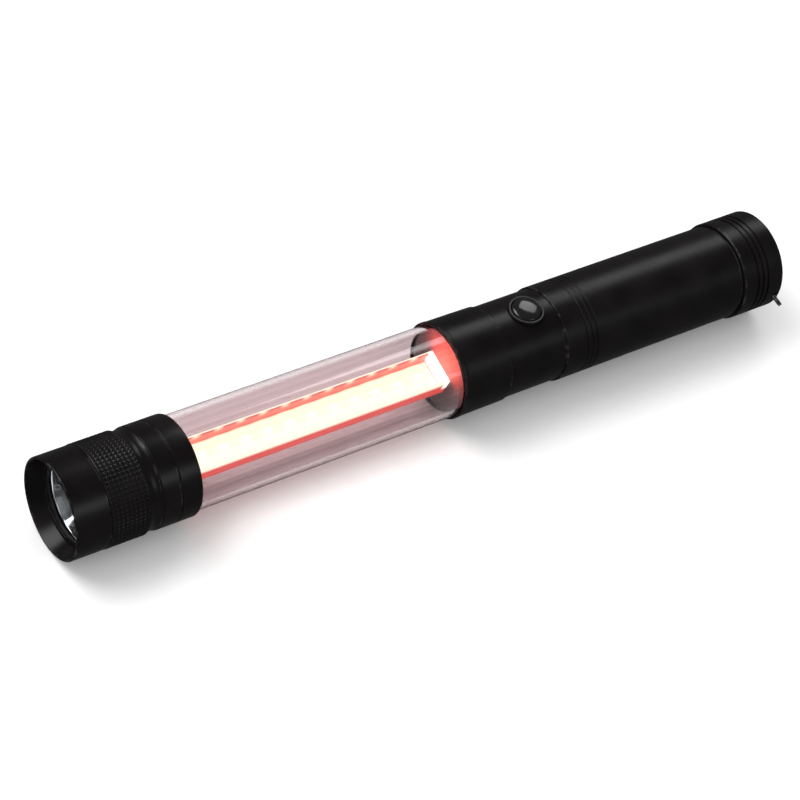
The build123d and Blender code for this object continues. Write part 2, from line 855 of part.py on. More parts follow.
def split_ring():
    """Split ring of two leaves, threaded through the cap's hole and over its rear edge."""
    leaf_offset = (split_ring_leaf + split_ring_slit) / 2
    inner = split_ring_radius - split_ring_wire
    leaves = []
    for side in (-1, 1):
        leaf = Cylinder(split_ring_radius, split_ring_leaf) - Cylinder(inner, split_ring_leaf)
        leaves.append(Location((0, 0, side * leaf_offset)) * leaf)
    bridge = Location((-split_ring_radius + split_ring_wire / 2, 0, 0))
    bridge = bridge * Box(split_ring_wire - running_gap, split_ring_bridge, 2 * split_ring_leaf)
    ring = leaves[0] + leaves[1] + bridge
    # The bridged side of the ring stands in the hole, and the ring is twisted about it.
    mean = split_ring_radius - split_ring_wire / 2
    ring = Location((mean, 0, 0)) * ring
    ring = Rot(0, split_ring_twist, 0) * ring
    centre_radius = tail_radius - split_ring_sink
    ring = Location((x_end - ring_hole_inset, -centre_radius, 0)) * ring
    return clocked(ring, ring_clock)


# ---- every node ----------------------------------------------------------------------------------
nodes = {
    "front_bezel": front_bezel(),
    "lens_seal": lens_seal(),
    "lens_window": lens_window(),
    "reflector": reflector(),
    "reflector_collar": reflector_collar(),
    "front_led": front_led(),
    "front_led_board": front_led_board(),
    "heat_sink": clocked(heat_sink(), tray_clock),
    "head_shell": head_shell(),
    "tube_front_gasket": tube_gasket(x_front_gasket),
    "clear_tube": clear_tube(),
    "tube_rear_gasket": tube_gasket(x_tube_rear),
    "front_bulkhead": bulkhead(x_bulkhead),
    "rear_bulkhead": bulkhead(x_tray_rear),
    "strip_tray": strip_tray(),
    "strip_board": strip_board(),
    "strip_leds": strip_leds(),
    "strip_resistors": strip_resistors(),
    "tray_screws": tray_screws(),
    "lead_wire_red": lead_wire(1),
    "lead_wire_black": lead_wire(-1),
    "tube_sleeve": tube_sleeve(),
    "switch_housing": switch_housing(),
    "handle_seal": handle_seal(),
    "button_ring": button_ring(),
    "button_cap": button_cap(),
    "switch_stem": switch_stem(),
    "switch_body": switch_body(),
    "driver_board": driver_board(),
    "driver_parts": driver_parts(),
    "board_carrier": board_carrier(),
    "contact_holder": contact_holder(),
    "front_contact": front_contact(),
    "front_contact_spring": front_contact_spring(),
    "handle_tube": handle_tube(),
    "cartridge_front_disc": cartridge_disc(x_cartridge),
    "cartridge_rear_disc": cartridge_disc(x_cartridge_rear - disc_thickness),
    "cartridge_posts": cartridge_posts(),
    "battery_cells": battery_cells(),
    "cell_springs": cell_springs(),
    "cartridge_front_contact": cartridge_contact(x_cartridge - contact_plate_thickness),
    "cartridge_rear_contact": cartridge_contact(x_cartridge_rear),
    "tail_cap": tail_cap(),
    "tail_seal": tail_seal(),
    "tail_retainer": tail_retainer(),
    "tail_contact_plate": tail_contact_plate(),
    "tail_spring": tail_spring(),
    "split_ring": split_ring(),
}

os.makedirs("parts", exist_ok=True)
for name, shape in nodes.items():
    shape.label = name
    export_step(shape, f"parts/{name}.step")
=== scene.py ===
import bpy
import numpy as np
from mathutils import Matrix, Vector


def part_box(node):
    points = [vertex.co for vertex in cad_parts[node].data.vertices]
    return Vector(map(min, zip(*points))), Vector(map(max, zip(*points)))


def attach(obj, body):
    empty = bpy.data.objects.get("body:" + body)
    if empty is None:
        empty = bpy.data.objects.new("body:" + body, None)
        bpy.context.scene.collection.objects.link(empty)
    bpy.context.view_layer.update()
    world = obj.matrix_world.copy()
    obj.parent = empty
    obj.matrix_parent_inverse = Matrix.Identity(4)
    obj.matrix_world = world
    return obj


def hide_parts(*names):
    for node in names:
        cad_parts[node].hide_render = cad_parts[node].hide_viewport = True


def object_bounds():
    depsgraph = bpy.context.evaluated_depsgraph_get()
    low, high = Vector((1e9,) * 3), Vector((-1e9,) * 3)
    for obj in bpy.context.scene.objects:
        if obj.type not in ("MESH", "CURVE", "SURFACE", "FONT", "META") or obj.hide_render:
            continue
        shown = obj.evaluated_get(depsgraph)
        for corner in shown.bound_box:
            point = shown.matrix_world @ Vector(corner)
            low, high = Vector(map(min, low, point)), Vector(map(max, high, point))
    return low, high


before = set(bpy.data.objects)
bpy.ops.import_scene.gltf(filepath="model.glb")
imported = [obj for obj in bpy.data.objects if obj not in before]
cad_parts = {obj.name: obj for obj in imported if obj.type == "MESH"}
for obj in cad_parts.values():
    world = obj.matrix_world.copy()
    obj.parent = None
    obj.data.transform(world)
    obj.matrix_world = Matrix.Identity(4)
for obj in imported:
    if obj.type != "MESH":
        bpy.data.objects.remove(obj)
cad_box = [list(corner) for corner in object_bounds()]
scene = bpy.context.scene

# ---- camera, light and floor ---------------------------------------------------------------------
# The torch lies on a white table, head towards the viewer's left. A wide soft box stands above the
# head, smaller ones beyond the tail, ahead of the head and on the viewer's side. The white surround
# is dimmed in every reflection, so that the glossy black metal stays black.
camera_place = Vector((-0.2787, -0.3899, 0.5981))
camera_aim = Vector((0.0889, -0.0299, 0.0383))
camera_roll = 17.0
scene.view_settings.view_transform = "Standard"
lens = bpy.data.cameras.new("camera")
lens.sensor_width = 36.0
lens.lens = 123.75
lens.clip_start = 0.01
eye = bpy.data.objects.new("camera", lens)
eye.rotation_mode = "QUATERNION"
eye.location = camera_place
look = (camera_aim - camera_place).to_track_quat("-Z", "Y")
eye.rotation_quaternion = look @ Matrix.Rotation(np.radians(camera_roll), 4, "Z").to_quaternion()
scene.collection.objects.link(eye)
scene.camera = eye


def soft_box(name, place, aim, size, power, colour=(1.0, 1.0, 1.0)):
    """Rectangular light at place, turned to face aim. Its size is its length and width in metres,
    and its power is in watts."""
    lamp = bpy.data.lights.new(name, "AREA")
    lamp.shape = "RECTANGLE"
    lamp.size, lamp.size_y = size
    lamp.energy = power
    lamp.color = colour
    holder = bpy.data.objects.new(name, lamp)
    holder.location = place
    holder.rotation_mode = "QUATERNION"
    holder.rotation_quaternion = (Vector(aim) - Vector(place)).to_track_quat("-Z", "Y")
    scene.collection.objects.link(holder)
    return holder


middle = (0.127, 0.0, 0.0)
soft_box("key_box", (-0.45, 0.65, 1.05), middle, (1.0, 0.8), 13.0)
soft_box("tail_box", (1.00, 0.72, 0.95), middle, (0.5, 0.5), 2.8)
soft_box("front_box", (-0.95, -0.35, 0.60), middle, (0.7, 0.5), 1.2)
soft_box("fill_box", (0.60, -1.30, 0.90), middle, (0.8, 0.5), 2.4)
world = bpy.data.worlds.new("surround")
world.use_nodes = True
surround = world.node_tree
white = (1.0, 1.0, 1.0, 1.0)
surround_strength, reflected_strength = 0.78, 0.09
pale, dim = surround.nodes["Background"], surround.nodes.new("ShaderNodeBackground")
pale.inputs["Color"].default_value = white
pale.inputs["Strength"].default_value = surround_strength
dim.inputs["Color"].default_value = white
dim.inputs["Strength"].default_value = reflected_strength
ray, choose = surround.nodes.new("ShaderNodeLightPath"), surround.nodes.new("ShaderNodeMixShader")
surround.links.new(ray.outputs["Is Glossy Ray"], choose.inputs["Fac"])
surround.links.new(pale.outputs["Background"], choose.inputs[1])
surround.links.new(dim.outputs["Background"], choose.inputs[2])
surround.links.new(choose.outputs["Shader"], surround.nodes["World Output"].inputs["Surface"])
scene.world = world

floor_side, floor_gap = 8.0, 0.0002
floor_level = cad_box[0][2] - floor_gap
table_top = bpy.data.meshes.new("floor")
corners = np.array([(-1, -1), (1, -1), (1, 1), (-1, 1)]) * floor_side / 2
table_top.from_pydata([(x, y, floor_level) for x, y in corners], [], [(0, 1, 2, 3)])
floor = bpy.data.objects.new("floor", table_top)
scene.collection.objects.link(floor)
paper = bpy.data.materials.new("white_paper")
paper.use_nodes = True
paper_shader = paper.node_tree.nodes["Principled BSDF"]
paper_shader.inputs["Base Color"].default_value = (0.93, 0.93, 0.93, 1.0)
paper_shader.inputs["Roughness"].default_value = 0.9
paper_shader.inputs["Specular IOR Level"].default_value = 0.0
table_top.materials.append(paper)
floor.visible_glossy = False

# ---- front bezel ---------------------------------------------------------------------------------
# Screwed ring, turned from aluminium and anodised satin black. Its mouth is a wide cone that keeps
# stray light off the window, and its outside is a plain band with broken edges.
MM = 0.001


def rounded(points, radii):
    """Outline with each corner replaced by a circular arc. The arc touches both legs at its radius
    times the tangent of half the turn from the corner."""
    points = np.array(points, float)
    line = []
    for index, corner in enumerate(points):
        radius = radii[index]
        back = points[index - 1] - corner
        ahead = points[(index + 1) % len(points)] - corner
        if radius <= 0:
            line.append(corner[None])
            continue
        back_unit, ahead_unit = back / np.linalg.norm(back), ahead / np.linalg.norm(ahead)
        opening = np.arccos(np.clip(back_unit @ ahead_unit, -1, 1))
        leg_reach = radius / np.tan(opening / 2)
        centre_way = (back_unit + ahead_unit) / np.linalg.norm(back_unit + ahead_unit)
        centre = corner + centre_way * radius / np.sin(opening / 2)
        first = corner + back_unit * leg_reach - centre
        last = corner + ahead_unit * leg_reach - centre
        share = np.linspace(0, 1, 6)[:, None]
        sweep = np.pi - opening
        arc = (np.sin((1 - share) * sweep) * first + np.sin(share * sweep) * last) / np.sin(sweep)
        line.append(centre + arc)
    return np.concatenate(line)


def supported(outline, gap=0.15):
    """Outline with an extra point just inside both ends of each long straight, so that the smooth
    shading of a corner stays beside it and doesn't lean along the whole straight."""
    ahead = np.roll(outline, -1, axis=0) - outline
    length = np.linalg.norm(ahead, axis=1, keepdims=True)
    way = ahead / np.maximum(length, 1e-9)
    points = np.stack([outline, outline + way * gap, outline + way * (length - gap)], 1)
    long_enough = length > 4 * gap
    return points[np.concatenate([length > 0, long_enough, long_enough], 1)]


def skin(name, places, closed=True):
    """Mesh of a grid of places (rows, columns, 3). Columns go round, each cell is one quad, and the
    last row joins the first when closed, or else one flat face closes each end."""
    rows, columns = places.shape[:2]
    r, c = np.meshgrid(np.arange(rows if closed else rows - 1), np.arange(columns), indexing="ij")
    r2, c2 = (r + 1) % rows, (c + 1) % columns
    quads = np.stack([r * columns + c, r2 * columns + c, r2 * columns + c2, r * columns + c2], -1)
    faces = quads.reshape(-1, 4).tolist()
    if not closed:
        faces += [list(range(columns)), list(range(rows * columns - 1, (rows - 1) * columns - 1, -1))]
    mesh = bpy.data.meshes.new(name)
    mesh.from_pydata(places.reshape(-1, 3), [], faces)
    mesh.polygons.foreach_set("use_smooth", np.ones(len(mesh.polygons), bool))
    piece = bpy.data.objects.new(name, mesh)
    scene.collection.objects.link(piece)
    return piece


def turned(name, outline, steps=192):
    """Surface of revolution about X. Point (x, r) of the outline goes to x, -r sin t, r cos t."""
    outline = supported(np.asarray(outline, float)) * MM
    turn = np.linspace(0, 2 * np.pi, steps, endpoint=False)
    x, r = outline[:, 0, None], outline[:, 1, None]
    places = np.stack([x + 0 * turn, -r * np.sin(turn), r * np.cos(turn)], -1)
    return skin(name, places)


def finish(name, colour, roughness, metallic=0.0):
    """Principled material with one even colour to start from; returns it, its nodes and its shader."""
    material = bpy.data.materials.new(name)
    material.use_nodes = True
    tree = material.node_tree
    shader = tree.nodes["Principled BSDF"]
    shader.inputs["Base Color"].default_value = (*colour, 1.0)
    shader.inputs["Roughness"].default_value = roughness
    shader.inputs["Metallic"].default_value = metallic
    return material, tree, shader


def wire(tree, source, target):
    """Joins an output socket to an input socket."""
    tree.links.new(source, target)


def sums(tree, operation, first, second=0.0, third=0.0):
    """One Math node; each operand is a number or an output socket."""
    node = tree.nodes.new("ShaderNodeMath")
    node.operation = operation
    for socket, value in zip(node.inputs, (first, second, third)):
        if isinstance(value, (int, float)):
            socket.default_value = value
        else:
            wire(tree, value, socket)
    return node.outputs[0]


def object_place(tree, stretch=(1.0, 1.0, 1.0), turn=(0.0, 0.0, 0.0)):
    """Object coordinates in metres, turned and then stretched along each axis."""
    source = tree.nodes.new("ShaderNodeTexCoord")
    mapping = tree.nodes.new("ShaderNodeMapping")
    mapping.inputs["Scale"].default_value = stretch
    mapping.inputs["Rotation"].default_value = turn
    wire(tree, source.outputs["Object"], mapping.inputs["Vector"])
    return mapping.outputs["Vector"]


def grain(tree, stretch, detail=3.0, roughness=0.55):
    """Noise from 0 to 1 whose grains are 1/stretch metres long on each axis."""
    noise = tree.nodes.new("ShaderNodeTexNoise")
    noise.inputs["Scale"].default_value = 1.0
    noise.inputs["Detail"].default_value = detail
    noise.inputs["Roughness"].default_value = roughness
    wire(tree, object_place(tree, stretch), noise.inputs["Vector"])
    return noise.outputs["Fac"]


def spread(tree, value, low, high, new_low=0.0, new_high=1.0):
    """Straight-line change of range, held at both ends."""
    node = tree.nodes.new("ShaderNodeMapRange")
    wire(tree, value, node.inputs["Value"])
    node.inputs["From Min"].default_value = low
    node.inputs["From Max"].default_value = high
    node.inputs["To Min"].default_value = new_low
    node.inputs["To Max"].default_value = new_high
    return node.outputs["Result"]


def blend_colours(tree, share, first, second):
    """Colour between two colours, by a share from 0 to 1."""
    node = tree.nodes.new("ShaderNodeMix")
    node.data_type = "RGBA"
    wire(tree, share, node.inputs["Factor"])
    for socket, colour in ((node.inputs["A"], first), (node.inputs["B"], second)):
        if isinstance(colour, tuple):
            socket.default_value = (*colour, 1.0)
        else:
            wire(tree, colour, socket)
    return node.outputs["Result"]


def relief(tree, shader, height, depth, strength=1.0):
    """Bump of the given depth in metres."""
    bump = tree.nodes.new("ShaderNodeBump")
    bump.inputs["Distance"].default_value = depth
    bump.inputs["Strength"].default_value = strength
    wire(tree, height, bump.inputs["Height"])
    wire(tree, bump.outputs["Normal"], shader.inputs["Normal"])


def anodised(name, rims=(), roughness=0.34):
    """Satin black anodised aluminium: fine turning rings, faint blotches in the tone and the gloss,
    and a thin worn line on each rim, where rims are stations along X in millimetres."""
    material, tree, shader = finish(name, (0.004, 0.003, 0.003), roughness)
    shader.inputs["Specular IOR Level"].default_value = 0.24
    blotch = grain(tree, (90, 90, 90), 4.0)
    rings = grain(tree, (9000, 40, 40), 2.0)
    gloss = sums(tree, "MULTIPLY_ADD", blotch, 0.12, roughness - 0.06)
    wire(tree, sums(tree, "MULTIPLY_ADD", rings, 0.05, gloss), shader.inputs["Roughness"])
    deep, light = (0.0034, 0.0026, 0.0026), (0.0064, 0.0050, 0.0049)
    tone = blend_colours(tree, spread(tree, blotch, 0.35, 0.7), deep, light)
    if rims:
        split = tree.nodes.new("ShaderNodeSeparateXYZ")
        wire(tree, object_place(tree), split.inputs[0])
        nearest = None
        for rim in rims:
            gap = sums(tree, "ABSOLUTE", sums(tree, "SUBTRACT", split.outputs["X"], rim * MM))
            nearest = gap if nearest is None else sums(tree, "MINIMUM", nearest, gap)
        line = spread(tree, nearest, 0.10 * MM, 0.35 * MM, 1.0, 0.0)
        patchy = spread(tree, grain(tree, (350, 350, 350), 5.0), 0.50, 0.68)
        worn = sums(tree, "MULTIPLY", line, patchy)
        tone = blend_colours(tree, worn, tone, (0.055, 0.053, 0.053))
        wire(tree, sums(tree, "MULTIPLY", worn, 0.6), shader.inputs["Metallic"])
    wire(tree, tone, shader.inputs["Base Color"])
    relief(tree, shader, rings, 0.000004, 0.5)
    return material


def dress(piece, material, body="torch", replaces=()):
    """Puts the material on a new piece, hangs it on its body and hides the nodes it replaces."""
    piece.data.materials.clear()
    piece.data.materials.append(material)
    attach(piece, body)
    if replaces:
        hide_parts(*replaces)


def coat(nodes, material):
    """Puts the material on carried-over CAD nodes."""
    for node in nodes:
        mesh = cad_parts[node].data
        mesh.materials.clear()
        mesh.materials.append(material)


bezel_length, bezel_radius = 11.0, 15.45
mouth_radius, cone_depth, cone_end = 14.75, 4.5, 12.8
lip_radius, lip_end = 12.0, 5.5
pocket_radius, spigot_radius, spigot_end = 13.05, 14.2, 15.0
bezel_outline = rounded(
    [(0, mouth_radius), (cone_depth, cone_end), (cone_depth, lip_radius), (lip_end, lip_radius),
     (lip_end, pocket_radius), (spigot_end, pocket_radius), (spigot_end, spigot_radius),
     (bezel_length, spigot_radius), (bezel_length, bezel_radius), (0, bezel_radius)],
    [0.12, 0.15, 0.12, 0, 0, 0, 0.2, 0, 0.25, 0.42])
bezel = turned("bezel_ring", bezel_outline)
dress(bezel, anodised("anodised_bezel", (0.15, 10.9), 0.27), "torch", ["front_bezel"])

# ---- window and its seal -------------------------------------------------------------------------
# Flat clear disc, trapped behind the bezel's lip on a black rubber ring. Wiping has left faint
# smudges in its polish.
window_glass, tree, shader = finish("window_glass", (0.97, 0.985, 1.0), 0.02)
shader.inputs["Transmission Weight"].default_value = 1.0
shader.inputs["IOR"].default_value = 1.46
smudge = grain(tree, (260, 260, 260), 4.0)
wire(tree, spread(tree, smudge, 0.55, 0.8, 0.01, 0.09), shader.inputs["Roughness"])
coat(["lens_window"], window_glass)


def rubber(name):
    """Black rubber: dull, with a fine moulded grain and a grey bloom in patches."""
    material, tree, shader = finish(name, (0.02, 0.02, 0.02), 0.62)
    patch = spread(tree, grain(tree, (300, 300, 300), 4.0), 0.4, 0.75)
    tone = blend_colours(tree, patch, (0.012, 0.012, 0.012), (0.04, 0.04, 0.042))
    wire(tree, tone, shader.inputs["Base Color"])
    relief(tree, shader, grain(tree, (4000, 4000, 4000), 2.0), 0.00001, 0.4)
    return material


coat(
    ["lens_seal", "tube_front_gasket", "tube_rear_gasket", "handle_seal", "tail_seal"],
    rubber("black_rubber"))

# ---- reflector -----------------------------------------------------------------------------------
# Thin bowl behind the window, moulded and metallised. Its inside follows a parabola, and the mirror
# has the light orange-peel of a vapour coat.
bowl_start, bowl_end = 8.0, 22.5
bowl_rim, bowl_throat, bowl_wall = 12.2, 3.2, 0.75
flange_radius, flange_thickness = 13.0, 1.0


def bowl_outline(steps=40):
    """Parabola r squared = throat squared + share (rim squared - throat squared), from the throat
    forward to the rim, then back outside it one wall thicker."""
    share = np.linspace(0, 1, steps)
    inner = np.sqrt(bowl_throat**2 + share * (bowl_rim**2 - bowl_throat**2))
    x = bowl_end - (bowl_end - bowl_start) * share
    outer_x = np.minimum(x + bowl_wall, bowl_end)
    inside = np.stack([x, inner], -1)
    outside = np.stack([outer_x, inner + bowl_wall * 0.8], -1)[::-1]
    flange = np.array([
        (bowl_start, flange_radius), (bowl_start + flange_thickness, flange_radius)])
    return np.concatenate([inside, flange, outside[1:]])[::-1]


mirror, tree, shader = finish("vapour_mirror", (0.86, 0.87, 0.89), 0.07, 1.0)
haze = grain(tree, (500, 500, 500), 4.0)
wire(tree, spread(tree, haze, 0.3, 0.8, 0.04, 0.16), shader.inputs["Roughness"])
relief(tree, shader, grain(tree, (900, 900, 900), 2.0), 0.00001, 0.25)
bowl = turned("reflector_bowl", bowl_outline(), 160)
dress(bowl, mirror, "torch", ["reflector"])

# ---- front emitter, its board and heat sink ------------------------------------------------------
# White emitter with a yellow phosphor dome on a round white-masked metal board, clamped to a turned
# aluminium puck. An insulating washer keeps the reflector off the board.
phosphor, tree, shader = finish("phosphor_dome", (0.93, 0.82, 0.35), 0.25)
shader.inputs["Coat Weight"].default_value = 0.6
mottle = spread(tree, grain(tree, (1500, 1500, 1500), 3.0), 0.3, 0.7)
wire(tree, blend_colours(tree, mottle, (0.90, 0.74, 0.25), (0.96, 0.88, 0.45)),
     shader.inputs["Base Color"])
coat(["front_led"], phosphor)


def moulded(name, light, dark, roughness=0.42):
    """Moulded plastic: satin, with slow shade changes and a fine spark-eroded grain."""
    material, tree, shader = finish(name, light, roughness)
    shade = spread(tree, grain(tree, (120, 120, 120), 4.0), 0.3, 0.75)
    wire(tree, blend_colours(tree, shade, dark, light), shader.inputs["Base Color"])
    gloss = spread(tree, shade, 0.0, 1.0, roughness - 0.06, roughness + 0.08)
    wire(tree, gloss, shader.inputs["Roughness"])
    relief(tree, shader, grain(tree, (5000, 5000, 5000), 2.0), 0.000006, 0.5)
    return material


coat(["reflector_collar"], moulded("white_washer", (0.75, 0.75, 0.72), (0.68, 0.68, 0.66)))
white_mask = moulded("white_solder_mask", (0.80, 0.80, 0.76), (0.74, 0.74, 0.71), 0.35)
coat(["front_led_board"], white_mask)


def machined(name, colour, roughness=0.3):
    """Bare turned metal: bright, with rings of tool marks along X and dull finger patches."""
    material, tree, shader = finish(name, colour, roughness, 1.0)
    marks = grain(tree, (5000, 120, 120), 3.0)
    patch = spread(tree, grain(tree, (150, 150, 150), 4.0), 0.35, 0.75)
    darker = tuple(0.72 * part for part in colour)
    wire(tree, blend_colours(tree, patch, colour, darker), shader.inputs["Base Color"])
    wire(tree, sums(tree, "MULTIPLY_ADD", patch, 0.14, roughness - 0.05), shader.inputs["Roughness"])
    relief(tree, shader, marks, 0.00001, 0.35)
    return material


coat(["heat_sink"], machined("turned_aluminium", (0.62, 0.62, 0.64)))

# ---- head shell ----------------------------------------------------------------------------------
# Turned and anodised aluminium: a square-grid knurl pressed into the grip band, a smooth waist, two
# cut ring lines and a rounded rear rim that the light tube pushes into.
knurl_start, knurl_end = 11.0, 23.5
waist_end, land_end, head_end = 27.5, 33.5, 40.5
knurl_radius, head_radius, waist_dip = 15.60, 15.45, 0.5
knurl_rows, knurl_columns, knurl_depth = 9, 72, 0.34
line_width, line_depth, line_margin = 0.55, 0.30, 0.35
rear_round, front_edge = 1.1, 0.35
crest_share, knurl_start_margin, knurl_end_margin, knurl_fade = 0.42, 0.5, 0.4, 0.2
tube_socket, socket_end, web_bore, web_start = 14.45, 31.5, 10.5, 30.0
optic_bore, thread_end, thread_bore = 13.05, 15.2, 14.25
head_bores = [
    (head_end, tube_socket), (socket_end, tube_socket), (socket_end, web_bore),
    (web_start, web_bore), (web_start, optic_bore), (thread_end, optic_bore),
    (thread_end, thread_bore), (knurl_start, thread_bore)]


def head_radius_at(x):
    """Outside radius: the knurl's crest, a half-sine dip for the waist, a sine-squared groove at
    each ring line, a quarter circle at the rear rim and a small chamfer at the front."""
    r = np.full_like(x, head_radius)
    r = np.where(x < knurl_end, knurl_radius, r)
    waist = (x >= knurl_end) & (x < waist_end)
    dip = waist_dip * np.sin(np.pi * (x - knurl_end) / (waist_end - knurl_end))
    r = np.where(waist, head_radius - dip, r)
    for line in (waist_end, land_end):
        near = np.clip(1 - np.abs(x - line) / (line_width / 2), 0, 1)
        r = r - line_depth * np.sin(near * np.pi / 2) ** 2
    over = np.clip(x - (head_end - rear_round), 0, rear_round)
    r = r - (rear_round - np.sqrt(np.maximum(rear_round**2 - over**2, 0)))
    return r - front_edge * np.clip((knurl_start + front_edge - x) / front_edge, 0, 1)


def knurl_cut(x, t):
    """Depth of the square grid: the larger of two rows of V grooves, one along X and one round it,
    each V a triangle wave, faded out at both ends of the band."""
    across = np.abs(2 * ((t * knurl_columns / (2 * np.pi)) % 1) - 1)
    along = np.abs(2 * (((x - knurl_start) * knurl_rows / (knurl_end - knurl_start)) % 1) - 1)
    groove = np.clip((np.maximum(across, along) - crest_share) / (1 - crest_share), 0, 1)
    front_fade = np.clip((x - knurl_start - knurl_start_margin) / knurl_fade, 0, 1)
    rear_fade = np.clip((knurl_end - knurl_end_margin - x) / knurl_fade, 0, 1)
    return knurl_depth * groove * front_fade * rear_fade


def head_surface():
    """Grid of the head: rows run down the outside and back through the bores, columns go round."""
    turn = np.linspace(0, 2 * np.pi, knurl_columns * 8, endpoint=False)
    knurled = np.linspace(knurl_start, knurl_end, knurl_rows * 9 + 1)
    margins = np.linspace(-line_margin, line_margin, 9)
    before = line_margin + 0.05
    smooth = np.concatenate([
        np.linspace(knurl_end, waist_end - before, 12)[1:], waist_end + margins,
        [land_end - before], land_end + margins, [head_end - rear_round],
        head_end - rear_round * (1 - np.sin(np.linspace(0, np.pi / 2, 8)[1:]))])
    x = np.concatenate([knurled, smooth])[:, None]
    r = head_radius_at(x) - knurl_cut(x, turn[None])
    bores = np.array(head_bores)
    x = np.concatenate([x + 0 * turn, bores[:, :1] + 0 * turn])[::-1] * MM
    r = np.concatenate([r + 0 * turn, bores[:, 1:] + 0 * turn])[::-1] * MM
    return np.stack([x, -r * np.sin(turn), r * np.cos(turn)], -1)


head = skin("head_body", head_surface())
head_metal = anodised("anodised_head", (27.2, 33.2, 39.9), 0.28)
dress(head, head_metal, "torch", ["head_shell"])

# ---- light tube ----------------------------------------------------------------------------------
# Extruded clear acrylic tube, lightly smoked, polished outside. Faint draw lines run along it, and
# its colour carries painted dark lengthwise streaks that stand for dark surroundings refracted
# through it. Its ends sit in the head and under the sleeve. Being clear, it casts no shadow.
low, high = (np.array(corner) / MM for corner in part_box("clear_tube"))
tube_radius, tube_wall = high[2], 1.5
acrylic, tree, shader = finish("clear_acrylic", (0.80, 0.68, 0.71), 0.03)
shader.inputs["Transmission Weight"].default_value = 1.0
shader.inputs["IOR"].default_value = 1.45
drawn_out = 0.3
draw_lines = grain(tree, (drawn_out, 900, 900), 3.0)
fine_painted_streaks = spread(tree, grain(tree, (drawn_out, 2100, 2100), 2.0), 0.56, 0.62)
wire(tree, spread(tree, draw_lines, 0.45, 0.75, 0.02, 0.08), shader.inputs["Roughness"])
# Painted dark streaks along the tube's smoke tint stand for dark surroundings refracted through it.
broad_painted_bands = spread(tree, draw_lines, 0.38, 0.62)
smoke = blend_colours(tree, broad_painted_bands, (0.70, 0.60, 0.61), (0.82, 0.73, 0.74))
painted_dark_streaks = sums(tree, "MULTIPLY", fine_painted_streaks, 0.16)
wire(tree, blend_colours(tree, painted_dark_streaks, smoke, (0.50, 0.40, 0.42)), shader.inputs["Base Color"])
relief(tree, shader, draw_lines, 0.00002, 0.3)
tube_outline = rounded(
    [(low[0], tube_radius - tube_wall), (high[0], tube_radius - tube_wall), (high[0], tube_radius),
     (low[0], tube_radius)], [0.1, 0.1, 0.2, 0.2])
light_tube = turned("light_tube", tube_outline, 256)
light_tube.visible_shadow = False
dress(light_tube, acrylic, "torch", ["clear_tube"])

# ---- bulkheads, tray and strip -------------------------------------------------------------------
# White moulded channel with a keel and a square wall at each end, screwed to a disc at each end. The
# strip is a long white board with twelve red lamps, all lit, so bright that the board and the lamps
# look cream, and only the light that leaves them sideways looks red. The glow on the board, the
# tray and the resistors is painted lamp light.
tray_turn = np.radians(13.0)
board_half, board_level = 4.7, -1.2
lamp_pitch, lamp_count, lamp_first = 7.54, 12, 40.95
cream = (1.62, 1.70, 1.26)
coat(["front_bulkhead", "rear_bulkhead"],
     moulded("smoke_bulkhead", (0.12, 0.09, 0.09), (0.08, 0.055, 0.06)))


def strip_axes(tree):
    """Station along the strip, distance across it and height over the axis, as three sockets."""
    split = tree.nodes.new("ShaderNodeSeparateXYZ")
    wire(tree, object_place(tree, turn=(-tray_turn, 0, 0)), split.inputs[0])
    return split.outputs["X"], split.outputs["Y"], split.outputs["Z"]


def lamp_phase(tree, along):
    """Distance from the nearest lamp along the strip, 0 at a lamp and 0.5 half way between two."""
    start = (lamp_first - lamp_pitch / 2) * MM
    turns = sums(tree, "DIVIDE", sums(tree, "SUBTRACT", along, start), lamp_pitch * MM)
    return sums(tree, "ABSOLUTE", sums(tree, "SUBTRACT", sums(tree, "FRACT", turns), 0.5))


# The lamps' light on the white trough is painted on as emission, over a dim pink own colour:
# its walls glow red inside with a painted bright patch beside each lamp, cream at the top of
# their outsides, red lower down and fading dull towards the keel. The end walls are painted
# glowing white.
tray_painted_glow = moulded("white_tray_painted_glow", (0.34, 0.22, 0.22), (0.28, 0.17, 0.17), 0.38)
tree = tray_painted_glow.node_tree
shader = tree.nodes["Principled BSDF"]
along, across, up = strip_axes(tree)
outside = spread(tree, sums(tree, "ABSOLUTE", across), 5.05 * MM, 5.20 * MM)
near_wall = spread(tree, across, -4.9 * MM, -4.8 * MM, 1.0, 0.0)
wall_top = spread(tree, up, 2.75 * MM, 2.85 * MM)
outside = sums(tree, "MAXIMUM", outside, sums(tree, "MULTIPLY", near_wall, wall_top))
# Painted bright patch of lamp light beside each lamp, high on the walls.
patch = spread(tree, lamp_phase(tree, along), 0.04, 0.26, 1.0, 0.0)
patch = sums(tree, "MULTIPLY", patch, spread(tree, up, 1.0 * MM, 2.9 * MM))
inner = blend_colours(tree, patch, (1.0, 0.07, 0.06), (2.9, 1.5, 1.05))
rising = spread(tree, up, 0.4 * MM, 2.2 * MM)
outer = blend_colours(tree, rising, (1.0, 0.09, 0.07), (1.85, 1.85, 1.40))
painted_glow = blend_colours(tree, outside, inner, outer)
# Painted fall-off of the red glow down towards the keel.
fade = sums(tree, "POWER", spread(tree, up, -10.0 * MM, -3.0 * MM), 1.8)
painted_glow = blend_colours(tree, fade, (0.38, 0.17, 0.16), painted_glow)
